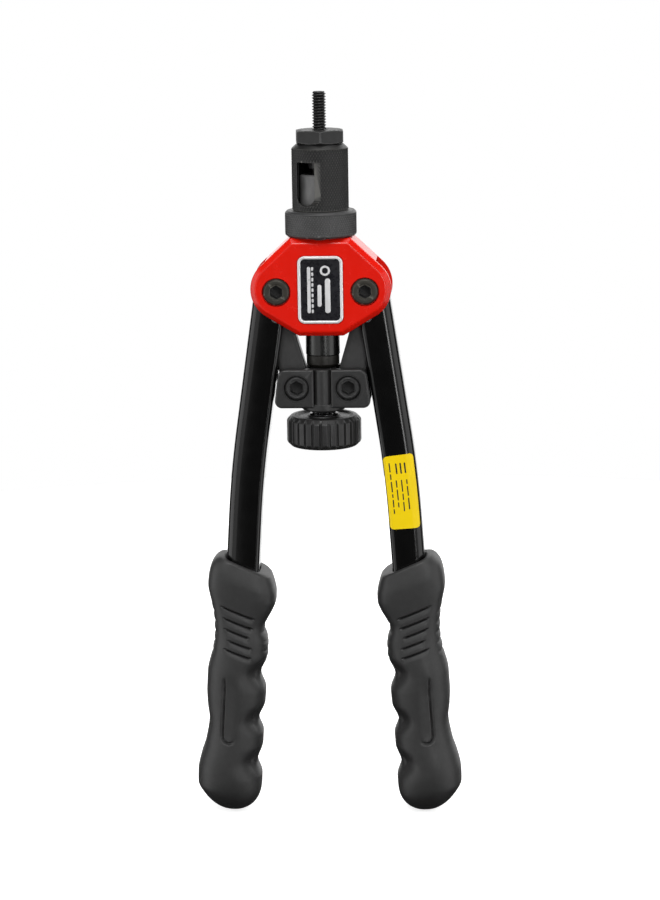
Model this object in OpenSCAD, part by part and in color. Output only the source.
// Hand riveter for threaded inserts: a two-handled lever tool that pulls a threaded mandrel.
// Millimetres. +Z runs along the mandrel, out of the nose. The tool's front faces -Y.
// The origin is the centre of the anvil's front face, where the insert's flange rests.

/* [Nose] */
// Mandrel thread diameter, a quarter inch
mandrel_d = 6.35; // [5:0.05:6.5]
// Mandrel length in front of the anvil
mandrel_reach = 17; // [12:1:25]
// Anvil nut width across flats
anvil_af = 21; // [19:0.5:22]
// Anvil nut head height
anvil_h = 6; // [5:0.5:6.3]
// Nose sleeve diameter
sleeve_d = 25.6; // [25:0.1:27]
// Nose sleeve height
sleeve_h = 29.8; // [29:0.1:31]
// Width of the sleeve's window
window_w = 11.2; // [9:0.1:12]
// Lock ring diameter
ring_d = 32.4; // [30:0.1:34]
// Lock ring height
ring_h = 11.7; // [10:0.1:13]

/* [Housing] */
// Housing depth, front to back
housing_d = 24.4; // [24:0.1:26]
// Housing height
housing_h = 44.5; // [43:0.5:46]
// Radius of the lobe round each handle pivot
lobe_r = 14.4; // [14:0.1:15]
// Bevel round the front and back faces
housing_bevel = 2.2; // [1:0.1:2.6]
// Distance of each handle pivot from the middle
pivot_x = 20; // [19.8:0.1:20.4]
// Width of the badge
badge_w = 20.4; // [16:0.1:21]
// Height of the badge
badge_h = 30.6; // [24:0.1:32]

/* [Linkage] */
// Distance from handle pivot to link pin
crank_r = 12; // [11.8:0.1:12.4]
// Distance of each yoke screw from the middle
yoke_screw_x = 11.75; // [11.6:0.05:12]
// Distance of the yoke screws below the handle pivots
yoke_drop = 44.5; // [44:0.1:45]
// Lean of the links with the handles closed
link_lean = 15; // [14:0.5:16]
// Link thickness
link_t = 8; // [6:0.5:8]

/* [Handles] */
// Handle tube width
tube_w = 15.3; // [14:0.1:15.6]
// Handle tube depth
tube_d = 17; // [15:0.5:17]
// Handle tube corner radius
tube_r = 4.5; // [3:0.1:5]
// Lean of the handle above its bend
upper_lean = 8.5; // [8:0.1:8.8]
// Lean of the handle below its bend
lower_lean = 3.8; // [3:0.1:4.5]
// Grip length along its axis
grip_len = 121.5; // [116:0.5:124]

/* [Knob] */
// Knob diameter
knob_d = 34.1; // [30:0.1:38]
// Knob height
knob_h = 14; // [11.5:0.1:14.5]
// Number of flutes round the knob
knob_flutes = 23; // [16:1:30]

/* [Hidden] */
$fn = 64;
eps = 0.01;

// Colours
red = "#d8201a";
black_oxide = "#3a3a3b";
gloss_black = "#101011";
rubber_black = "#2f3031";
steel = "#77797c";
silver = "#d5d7d8";
yellow = "#f4df19";

// Nose, from the anvil's face down
sleeve_r = sleeve_d / 2;
sleeve_top = -anvil_h - 0.4;
sleeve_bottom = sleeve_top - sleeve_h;
chamber_r = 9.6;
chamber_top = sleeve_top - 3.2;
stub_r = 10.9;
stub_bore_r = 7.95;
ring_bottom = sleeve_bottom - ring_h;
anvil_stub_r = 8.4;
anvil_bore_r = mandrel_d / 2 + 0.12;
shoulder_r = 5.4;
shoulder_bore_r = shoulder_r + 0.25;
shoulder_top = -13.3;
window_top = -14;
window_bottom = -33.6;
window_left = -9.9;
collar_r = 9.25;
drive_af = 11;
// The collar drives the mandrel over this much of its length, and frees it when pushed down that far.
drive_grip = 2.8;
shank_r = 2.95;
collar_top = -20;
collar_h = 14.4;
collar_travel = 3;
// How far the nose can be screwed out of the housing
nose_travel = 5;
chamber_bottom = collar_top - collar_h - collar_travel - nose_travel - 0.2;
shoulder_bottom = -17.4;
neck_r = 3.6;
spring_wire = 0.7;
spring_turns = 3;
spindle_head_bottom = collar_top - collar_h - collar_travel - (spring_turns + 1) * spring_wire;
spindle_flange_h = 1.5;
draw_tube_top = spindle_head_bottom - spindle_flange_h - 0.8;

// Housing
housing_top = ring_bottom;
housing_bottom = housing_top - housing_h;
pivot_z = housing_top - 24.2;
lobe_x = 31.9 - lobe_r;
lobe_z = pivot_z + 1;
shoulder_angle = 47;
skirt_angle = -58.9;
cavity_y = 8.65;
cavity_x = 10.3;
cavity_top = housing_top - 10.6;
stub_bottom = cavity_top + 1.5;
cheek_front = -housing_d / 2;
draw_tube_r = 7.8;

// Linkage
yoke_z = pivot_z - yoke_drop;
// The link's length puts its upper pin on the crank circle with the handles closed.
link_dx = pivot_x - yoke_screw_x;
link_half = link_dx * sin(link_lean) + yoke_drop * cos(link_lean);
link_len = link_half - sqrt(pow(link_half, 2) - pow(link_dx, 2) - pow(yoke_drop, 2) + pow(crank_r, 2));
link_pin_x = yoke_screw_x + link_len * sin(link_lean);
link_pin_z = yoke_z + link_len * cos(link_lean);
link_low_r = 6.4;
link_high_r = 5.7;
link_pin_r = 2.5;
// The upper eye is open by this much all round, because the linkage is cut there.
link_play = 1.25;
ear_front = 9.2;
ear_back = 4.5;
ear_inner = 4.9;
groove_y = 6.9;
rib_r = 4.1;
pivot_r = 4;
yoke_screw_r = 3;
bush_wall_fit = 0.06;
pivot_bush_r = 5.1;

// Handle tube: two straight stretches and a gentle bend
lug_r = 9.2;
lug_y = 8.2;
tube_offset = 2.8;
tube_wall = 1.9;
bend_start = 66;
bend_r = 500;
bend_angle = upper_lean - lower_lean;
grip_start = 20.5;
bend_len = bend_r * bend_angle * PI / 180;
low_start = bend_start + bend_len;
tube_end = low_start + grip_start + grip_len - 25;
clevis_half = 4.7;
clevis_end = 42;

// Knob and bearing
yoke_foot = yoke_z - 11.1;
race_h = 0.8;
ball_gap = 1;
race_r = 6.6;
knob_top = yoke_foot - 2 * race_h - ball_gap;
knob_bottom = knob_top - knob_h;
spindle_r = 3.5;

function lerp(a, b, t) = a + (b - a) * t;
// Points of an arc about c, from angle a0 to a1, in n steps
function arc(c, r, a0, a1, n) = [for (i = [0:n]) let (a = lerp(a0, a1, i / n)) [c[0] + r * cos(a), c[1] + r * sin(a)]];
// Where the straight edge tangent to a lobe at angle a meets the height z
function edge_x(a, z, inset) = lobe_x + (lobe_r - inset - (z - lobe_z) * sin(a)) / cos(a);
// Housing outline, set in by inset: right half, then its mirror image
function half_outline(inset) = concat(
    [[edge_x(shoulder_angle, housing_top - inset, inset), housing_top - inset]],
    arc([lobe_x, lobe_z], lobe_r - inset, shoulder_angle, skirt_angle, 26),
    [[edge_x(skirt_angle, housing_bottom + inset, inset), housing_bottom + inset]]
);
function mirrored(points) = [for (i = [len(points) - 1:-1:0]) [-points[i][0], points[i][1]]];
function outline(inset) = concat(half_outline(inset), mirrored(half_outline(inset)));

// A flat outline in X and Z, made t thick along Y about the middle plane
module plate(t) {
    rotate([90, 0, 0]) linear_extrude(t, center = true) children();
}

// A cylinder along Y from y0 to y1 at (x, z)
module y_rod(x, z, r, y0, y1) {
    translate([x, y1, z]) rotate([90, 0, 0]) cylinder(r = r, h = y1 - y0);
}

// A hexagonal bar along Y, af across flats
module y_hex(x, z, af, y0, y1) {
    translate([x, y1, z]) rotate([90, 0, 0]) rotate(30) cylinder(r = af / 2 / cos(30), h = y1 - y0, $fn = 6);
}

module z_rod(r, z0, z1) {
    translate([0, 0, z0]) cylinder(r = r, h = z1 - z0);
}

// A hexagonal bar along Z with one corner towards the front
module z_hex(af, z0, z1, turn = 0) {
    translate([0, 0, z0]) rotate(turn + 30) cylinder(r = af / 2 / cos(30), h = z1 - z0, $fn = 6);
}

module rounded_rect(w, h, r) {
    square([w - 2 * r, h], center = true);
    square([w, h - 2 * r], center = true);
    for (sx = [-1, 1], sy = [-1, 1]) translate([sx * (w / 2 - r), sy * (h / 2 - r)]) circle(r);
}

module both_sides() {
    children();
    mirror([1, 0, 0]) children();
}

// ---- Housing and what is fixed to it ----

module housing_block() {
    hull() {
        plate(housing_d - 2 * housing_bevel) polygon(outline(0));
        plate(housing_d) polygon(outline(housing_bevel));
    }
}

module handle_cavity() {
    translate([cavity_x, -cavity_y, housing_bottom - 1])
        cube([40, 2 * cavity_y, cavity_top - housing_bottom + 1]);
}

module housing() {
    color(red) difference() {
        housing_block();
        both_sides() handle_cavity();
        z_rod(stub_r + 0.05, stub_bottom - 0.5, housing_top + 1);
        z_rod(draw_tube_r + 0.1, housing_bottom - 1, housing_top);
        both_sides() {
            y_rod(pivot_x, pivot_z, pivot_r + 0.02, -20, 20);
            y_rod(pivot_x, pivot_z, 6.55, -20, cheek_front + 1.9);
            y_hex(pivot_x, pivot_z, 13.3, -cheek_front - 1.7, 20);
        }
        translate([0, cheek_front + 0.8 - 10, lobe_z]) plate(20) rounded_rect(badge_w + 0.6, badge_h + 0.6, 3.5);
    }
}

module badge_plate() {
    color("#15161b") translate([0, cheek_front + 0.35, lobe_z]) plate(0.9) rounded_rect(badge_w - 2.6, badge_h - 2.6, 2);
}

module badge_frame() {
    color(silver) translate([0, cheek_front + 0.1, lobe_z]) plate(1.4) difference() {
        rounded_rect(badge_w, badge_h, 3.2);
        rounded_rect(badge_w - 2.58, badge_h - 2.58, 2.01);
    }
}

// A cap screw along Y with a hexagonal socket in its front
module cap_screw(x, z, head_r, head_front, head_back, shank_r, shank_back, socket_af, socket_h) {
    difference() {
        union() {
            y_rod(x, z, head_r, head_front + 0.4, head_back);
            translate([x, head_front, z]) rotate([-90, 0, 0]) cylinder(r1 = head_r - 0.4, r2 = head_r, h = 0.4);
            y_rod(x, z, shank_r, head_back - 1, shank_back);
        }
        y_hex(x, z, socket_af, head_front - 1, head_front + socket_h);
    }
}

module hex_nut(x, z, af, bore_r, y0, y1) {
    difference() {
        y_hex(x, z, af, y0, y1);
        y_rod(x, z, bore_r, y0 - 1, y1 + 1);
    }
}

module pivot_screws() {
    color(black_oxide) both_sides()
        cap_screw(pivot_x, pivot_z, 6.2, cheek_front - 0.2, cheek_front + 1.9, pivot_r, -cheek_front + 2.8, 5, 1.8);
}

module pivot_nuts() {
    color(black_oxide) both_sides()
        hex_nut(pivot_x, pivot_z, 13, pivot_r + 0.02, -cheek_front - 1.7, -cheek_front + 3);
}

// ---- Nose ----

// Flat at the top and round at the bottom. Its right-hand wall slopes, to let a driver tip in.
module window_cut() {
    r = window_w / 2 - 0.6;
    right = window_left + window_w;
    intersection() {
        plate(60) {
            translate([window_left, window_bottom + r]) square([window_w, window_top - window_bottom - r]);
            hull() for (x = [window_left + r, right - r]) translate([x, window_bottom + r]) circle(r);
        }
        translate([0, 0, window_bottom - 1]) linear_extrude(window_top - window_bottom + 2)
            polygon([[window_left - 1, -20], [window_left - 1, 0], [-3, 0], [-2.2, -9.2], [right + 0.1, -12.9], [right + 1, -20]]);
    }
}

module nose_sleeve() {
    chamfer = 2;
    color(black_oxide) difference() {
        union() {
            z_rod(sleeve_r, sleeve_bottom, sleeve_top - chamfer);
            translate([0, 0, sleeve_top - chamfer]) cylinder(r1 = sleeve_r, r2 = sleeve_r - chamfer, h = chamfer);
            z_rod(stub_r, stub_bottom, sleeve_bottom + 1);
        }
        z_rod(chamber_r, chamber_bottom, chamber_top);
        z_rod(stub_bore_r, stub_bottom - 1, sleeve_bottom + 1);
        z_rod(anvil_stub_r + 0.02, chamber_top - 1, 1);
        window_cut();
    }
}

module anvil_nut() {
    corner_r = anvil_af / 2 / cos(30);
    color(black_oxide) difference() {
        union() {
            intersection() {
                z_hex(anvil_af, -anvil_h, 0, 5);
                union() {
                    z_rod(corner_r, -anvil_h + 1, -1);
                    translate([0, 0, -1]) cylinder(r1 = corner_r, r2 = corner_r - 1.6, h = 1);
                    translate([0, 0, -anvil_h]) cylinder(r1 = corner_r - 1.6, r2 = corner_r, h = 1);
                }
            }
            z_rod(anvil_stub_r, chamber_top, -anvil_h + 1);
        }
        z_rod(anvil_bore_r, -anvil_h - 10, 1);
        z_rod(shoulder_bore_r, chamber_top - 1, -3);
    }
}

module lock_ring() {
    chamfer = 0.8;
    r = ring_d / 2;
    color("#4a4b4c") difference() {
        union() {
            z_rod(r, ring_bottom + chamfer, sleeve_bottom - chamfer);
            translate([0, 0, sleeve_bottom - chamfer]) cylinder(r1 = r, r2 = r - chamfer, h = chamfer);
            translate([0, 0, ring_bottom]) cylinder(r1 = r - chamfer, r2 = r, h = chamfer);
        }
        z_rod(stub_r + 0.06, ring_bottom - 1, sleeve_bottom + 1);
    }
}

// ---- Yoke, its guide tube and screws ----

// One ear in X and Z: its outer edge lies along the closed handle
module ear_outline() {
    r = 3;
    outer_low = 22.2;
    outer_high = outer_low - 15.2 * tan(upper_lean);
    union() {
        translate([outer_low - r, yoke_z - 9.2 + r]) circle(r);
        translate([outer_high - r, yoke_z + 8.6 - r]) circle(r);
        polygon([
            [ear_inner, yoke_z - 9.2], [outer_low - r, yoke_z - 9.2],
            [outer_low - r + r * cos(upper_lean), yoke_z - 9.2 + r - r * sin(upper_lean)],
            [outer_high - r + r * cos(upper_lean), yoke_z + 8.6 - r - r * sin(upper_lean)],
            [outer_high - r, yoke_z + 8.6], [ear_inner, yoke_z + 8.6]
        ]);
    }
}

module yoke() {
    top = yoke_z + 8.6;
    color(black_oxide) difference() {
        union() {
            for (sy = [-1, 1]) both_sides()
                translate([0, sy * (ear_front + ear_back) / 2, 0]) plate(ear_front - ear_back) ear_outline();
            translate([-ear_inner, -groove_y, yoke_z - 9.2]) cube([2 * ear_inner, 2 * groove_y, 17.8]);
            // Ribs in the grooves between the ears, front and back
            for (sy = [-1, 1]) translate([0, sy * (ear_front - rib_r - 0.1), yoke_z - 8]) cylinder(r = rib_r, h = 16.6);
            z_rod(10, yoke_foot, yoke_z - 7.4);
        }
        z_rod(5.02, yoke_z + 4, top + 1);
        z_rod(spindle_r + 0.1, yoke_foot - 1, top);
        both_sides() {
            y_rod(yoke_screw_x, yoke_z, yoke_screw_r + 0.02, -20, 20);
            y_rod(yoke_screw_x, yoke_z, 5.8, -20, -ear_front + 2.2);
            y_hex(yoke_screw_x, yoke_z, 10.3, ear_front - 2, 20);
        }
    }
}

module draw_tube() {
    foot = yoke_z + 8.6;
    foot_r = draw_tube_r - 0.3;
    chamfer = 1.6;
    color("#454647") difference() {
        union() {
            z_rod(draw_tube_r, yoke_z + 14.4, draw_tube_top);
            z_rod(foot_r, foot + chamfer, yoke_z + 15);
            translate([0, 0, foot]) cylinder(r1 = foot_r - chamfer, r2 = foot_r, h = chamfer);
            z_rod(5, yoke_z + 4, foot + 1);
        }
        z_rod(spindle_r + 0.1, yoke_z, draw_tube_top + 1);
    }
}

module yoke_screws() {
    color(black_oxide) both_sides()
        cap_screw(yoke_screw_x, yoke_z, 5.6, -ear_front - 0.3, -ear_front + 2.2, yoke_screw_r, ear_front + 1.8, 5.5, 2);
}

module yoke_nuts() {
    color(black_oxide) both_sides()
        hex_nut(yoke_screw_x, yoke_z, 10, yoke_screw_r + 0.02, ear_front - 2, ear_front + 2);
}

module race(z) {
    color(steel) difference() {
        z_rod(race_r, z, z + race_h);
        z_rod(spindle_r + 0.1, z - 1, z + race_h + 1);
    }
}

module bearing_upper_race() {
    race(yoke_foot - race_h);
}

module bearing_balls() {
    n = 14;
    color(silver) for (i = [0:n - 1]) rotate(i * 360 / n)
        translate([(race_r + spindle_r) / 2, 0, yoke_foot - race_h - ball_gap / 2]) sphere(ball_gap / 2 - 0.02);
}

module bearing_lower_race() {
    race(knob_top);
}

// ---- Spindle, knob and mandrel ----

module spindle() {
    color(steel) difference() {
        union() {
            z_rod(spindle_r, knob_bottom + 4, spindle_head_bottom);
            z_rod(7.7, spindle_head_bottom - spindle_flange_h, spindle_head_bottom);
            z_hex(drive_af, spindle_head_bottom - 1, collar_top - drive_grip, 12);
        }
        z_rod(3.02, spindle_head_bottom + 3, 0);
        z_rod(2.52, knob_bottom, knob_bottom + 12);
    }
}

module knob() {
    r = knob_d / 2;
    bevel = 2;
    color("#2b2b2c") difference() {
        union() {
            z_rod(r, knob_bottom + bevel, knob_top - bevel);
            translate([0, 0, knob_top - bevel]) cylinder(r1 = r, r2 = r - bevel, h = bevel);
            translate([0, 0, knob_bottom]) cylinder(r1 = r - bevel, r2 = r, h = bevel);
        }
        for (i = [0:knob_flutes - 1]) rotate(i * 360 / knob_flutes - 92)
            translate([r, 0, knob_bottom - 1]) cylinder(r = 0.8, h = knob_h + 2);
        z_rod(spindle_r + 0.02, knob_bottom - 1, knob_top + 1);
        z_rod(6, knob_bottom - 1, knob_bottom + 4);
        translate([0, 0, knob_top - 0.8]) difference() {
            cylinder(r = 13, h = 2);
            translate([0, 0, -1]) cylinder(r = 7.4, h = 4);
        }
    }
}

module knob_screw() {
    color(black_oxide) difference() {
        union() {
            z_rod(5.5, knob_bottom + 0.6, knob_bottom + 3.98);
            z_rod(2.5, knob_bottom + 3, knob_bottom + 11);
        }
        z_hex(4, knob_bottom - 1, knob_bottom + 3);
    }
}

module mandrel() {
    chamfer = 0.7;
    r = mandrel_d / 2;
    color("#1c1c1d") union() {
        z_rod(r, 0, mandrel_reach - chamfer);
        z_rod(shank_r, shoulder_top - 1, eps);
        translate([0, 0, mandrel_reach - chamfer]) cylinder(r1 = r, r2 = r - chamfer, h = chamfer);
        z_rod(shoulder_r, shoulder_bottom, shoulder_top);
        z_rod(neck_r, collar_top, shoulder_bottom + eps);
        z_hex(drive_af, collar_top - drive_grip, collar_top + eps, 12);
        z_rod(3, collar_top - 12, collar_top - drive_grip + eps);
    }
}

module drive_collar() {
    chamfer = 0.5;
    bottom = collar_top - collar_h;
    color("#8d8f91") difference() {
        union() {
            z_rod(collar_r, bottom, collar_top - chamfer);
            translate([0, 0, collar_top - chamfer]) cylinder(r1 = collar_r, r2 = collar_r - chamfer, h = chamfer);
        }
        z_hex(drive_af + 0.2, bottom - 1, collar_top + 1, 12);
    }
}

// Coil spring: a square wire swept round the spindle's head by a loop
module collar_spring() {
    wire = spring_wire;
    coil_r = 7.2;
    steps = 24;
    low = spindle_head_bottom + wire / 2 + 0.05;
    high = collar_top - collar_h - wire / 2 - 0.05;
    n = spring_turns * steps;
    corners = [[-1, -1], [-1, 1], [1, 1], [1, -1]];
    points = [
        for (i = [0:n], c = corners)
            let (a = i * 360 / steps, r = coil_r + c[0] * wire / 2)
            [r * cos(a), r * sin(a), lerp(low, high, i / n) + c[1] * wire / 2]
    ];
    sides = [
        for (i = [0:n - 1], k = [0:3])
            let (a = 4 * i + k, b = 4 * i + (k + 1) % 4)
            [a, a + 4, b + 4, b]
    ];
    color(silver) polyhedron(points, concat([[0, 1, 2, 3]], sides, [[4 * n + 3, 4 * n + 2, 4 * n + 1, 4 * n]]));
}

// ---- Handles: drawn on the right and mirrored for the left ----

// Puts its children at the handle pivot's foot on the tube's axis, with local Z down the tube
module on_upper_axis() {
    translate([pivot_x, 0, pivot_z]) rotate([0, 180 - upper_lean, 0]) translate([-tube_offset, 0, 0]) children();
}

// Puts its children where the bend ends, with local Z down the lower stretch and local X towards the middle
module on_lower_axis() {
    on_upper_axis() translate([bend_r, 0, bend_start]) rotate([0, bend_angle, 0]) translate([-bend_r, 0, 0]) children();
}

// How far the tube's axis has turned, at the distance s along it from the pivot
function turned(s) = bend_angle * min(1, max(0, (s - bend_start) / bend_len));

// The tube's axis at s: across and down
function axis_at(s) =
    let (a = turned(s), past = max(0, s - bend_start - bend_len))
    [bend_r * (1 - cos(a)) + past * sin(a), min(s, bend_start) + bend_r * sin(a) + past * cos(a)];

// Outline of the tube's section, larger by grow all round
function tube_section(grow) =
    let (r = tube_r + grow, x = tube_w / 2 - tube_r, y = tube_d / 2 - tube_r, n = 6)
    concat(
        arc([x, y], r, 0, 90, n), arc([-x, y], r, 90, 180, n),
        arc([-x, -y], r, 180, 270, n), arc([x, -y], r, 270, 360, n)
    );

// A bar of the tube's section along its path, from s0 above the bend to s1 below it
module path_bar(grow, s0, s1) {
    section = tube_section(grow);
    sides = len(section);
    steps = 8;
    stations = concat([s0], [for (i = [0:steps]) bend_start + i * bend_len / steps], [s1]);
    points = [
        for (s = stations, p = section)
            let (c = axis_at(s), a = turned(s))
            [c[0] + p[0] * cos(a), p[1], c[1] - p[0] * sin(a)]
    ];
    on_upper_axis() loft(points, sides, len(stations));
}

// A closed solid through rings of points, each of the same number of points
module loft(points, sides, rings) {
    first_cap = [for (k = [0:sides - 1]) k];
    last_cap = [for (k = [sides - 1:-1:0]) (rings - 1) * sides + k];
    walls = [
        for (i = [0:rings - 2], k = [0:sides - 1])
            let (a = i * sides + k, b = i * sides + (k + 1) % sides)
            each [[a, b + sides, b], [a, a + sides, b + sides]]
    ];
    polyhedron(points, concat([first_cap], walls, [last_cap]));
}

module handle_tube() {
    color(gloss_black) difference() {
        union() {
            path_bar(0, 0, tube_end);
            y_rod(pivot_x, pivot_z, lug_r, -lug_y, lug_y);
        }
        path_bar(-tube_wall, clevis_end + 3, tube_end + 1);
        on_upper_axis() translate([tube_wall - tube_w / 2, -clevis_half, -20])
            cube([tube_w + 20, 2 * clevis_half, clevis_end + 20]);
        y_rod(pivot_x, pivot_z, pivot_bush_r + 0.01, -20, 20);
        y_rod(link_pin_x, link_pin_z, link_pin_r, -20, 20);
    }
}

module pivot_bush() {
    color(steel) difference() {
        y_rod(pivot_x, pivot_z, pivot_bush_r, -tube_d / 2, tube_d / 2);
        y_rod(pivot_x, pivot_z, pivot_r + bush_wall_fit, -20, 20);
    }
}

module link_pin() {
    color(steel) y_rod(link_pin_x, link_pin_z, link_pin_r - 0.01, -tube_d / 2 + 0.1, tube_d / 2 - 0.1);
}

module handle_sticker() {
    color(yellow) intersection() {
        difference() {
            path_bar(0.22, 40, low_start + 30);
            path_bar(0.02, 39, low_start + 31);
        }
        translate([35.6, -10, -165.2]) rotate([0, -5, 0]) plate(20) rounded_rect(13.6, 33.6, 1.8);
    }
}

// Grip profile: how far its surface stands out from the tube's axis, against the distance below the collar.
// Away from the middle of the tool
grip_outer = [[0, 11.4], [5, 15.2], [12, 16], [21, 13.9], [29, 12.4], [36, 12], [44, 12.8], [54, 14.5], [62, 14.5],
    [70, 13.8], [77, 12.7], [87, 13.8], [95, 15.8], [102, 16.9], [108, 16.7], [113, 14.6], [118, 12.6], [122, 11]];
// Towards the middle of the tool, with its finger swells
grip_inner = [[0, 11], [5, 13], [12, 15.6], [16, 15.8], [20, 14.8], [27, 12.2], [32, 11.2], [39, 13.2], [45, 13.3],
    [54, 10.5], [62, 13.2], [68, 13.1], [76, 10.6], [83, 13], [88, 13], [96.5, 10.9], [104, 13.3], [122, 13.4]];
// Front and back
grip_deep = [[0, 11.5], [10, 13.6], [28, 13], [58, 14.6], [80, 15], [103, 17], [122, 13.5]];
grip_slant = 14;
grip_cap = 14;

// Value of a profile at u, eased between its points
function profile(p, u, i = 0) =
    u <= p[0][0] ? p[0][1] :
    i >= len(p) - 1 ? p[len(p) - 1][1] :
    u <= p[i + 1][0] ? lerp(p[i][1], p[i + 1][1], (1 - cos(180 * (u - p[i][0]) / (p[i + 1][0] - p[i][0]))) / 2) :
    profile(p, u, i + 1);

// One ring of the grip at u from its collar: slanted near the collar, drawn in over the cap
function grip_ring(u, sides) =
    let (
        slope = tan(grip_slant) * max(0, 1 - u / 60),
        into = max(0, u - (grip_len - grip_cap)) / grip_cap,
        shrink = into >= 1 ? 0.05 : pow(1 - pow(into, 2.4), 0.5),
        reach = 14 * slope,
        outer = profile(grip_outer, u - reach) * shrink,
        inner = profile(grip_inner, u + reach) * shrink,
        deep = profile(grip_deep, u) * shrink,
        middle = (inner - outer) / 2,
        half = (inner + outer) / 2
    )
    [for (k = [0:sides - 1])
        let (
            a = k * 360 / sides, c = cos(a), s = sin(a),
            x = middle + half * sign(c) * pow(abs(c), 0.85),
            y = deep * sign(s) * pow(abs(s), 0.85)
        )
        [x, y, grip_start + u + slope * x]];

// Distances of the rings from the collar, closer over the cap
function grip_stations() = concat(
    [for (i = [0:36]) i * (grip_len - grip_cap) / 36],
    [for (i = [1:7]) grip_len - grip_cap + grip_cap * sin(i * 90 / 7)]
);

module grip() {
    sides = 28;
    stations = grip_stations();
    points = [for (u = stations) each grip_ring(u, sides)];
    color(rubber_black) difference() {
        on_lower_axis() loft(points, sides, len(stations));
        path_bar(0.02, 40, tube_end + 0.02);
    }
}

// ---- Links ----

module link_outline() {
    a = asin((link_low_r - link_high_r) / link_len);
    union() {
        circle(link_low_r);
        translate([0, link_len]) circle(link_high_r);
        polygon([
            [link_low_r * cos(a), link_low_r * sin(a)], [link_high_r * cos(a), link_len + link_high_r * sin(a)],
            [-link_high_r * cos(a), link_len + link_high_r * sin(a)], [-link_low_r * cos(a), link_low_r * sin(a)]
        ]);
    }
}

module link() {
    color(black_oxide) difference() {
        translate([yoke_screw_x, 0, yoke_z]) rotate([0, link_lean, 0]) plate(link_t) link_outline();
        y_rod(yoke_screw_x, yoke_z, 4.2, -20, 20);
        y_rod(link_pin_x, link_pin_z, link_pin_r + link_play, -20, 20);
    }
}

module link_bush() {
    color(steel) difference() {
        y_rod(yoke_screw_x, yoke_z, 4.19, -link_t / 2 - 0.3, link_t / 2 + 0.3);
        y_rod(yoke_screw_x, yoke_z, yoke_screw_r + bush_wall_fit, -20, 20);
    }
}

module left() {
    mirror([1, 0, 0]) children();
}

housing();
badge_plate();
badge_frame();
pivot_screws();
pivot_nuts();
nose_sleeve();
anvil_nut();
lock_ring();
yoke();
draw_tube();
yoke_screws();
yoke_nuts();
bearing_upper_race();
bearing_balls();
bearing_lower_race();
spindle();
knob();
knob_screw();
mandrel();
drive_collar();
collar_spring();
left() handle_tube();  // left_handle_tube
left() grip();  // left_grip
left() pivot_bush();  // left_pivot_bush
left() link_pin();  // left_link_pin
handle_tube();  // right_handle_tube
grip();  // right_grip
pivot_bush();  // right_pivot_bush
link_pin();  // right_link_pin
handle_sticker();
left() link();  // left_link
left() link_bush();  // left_link_bush
link();  // right_link
link_bush();  // right_link_bush
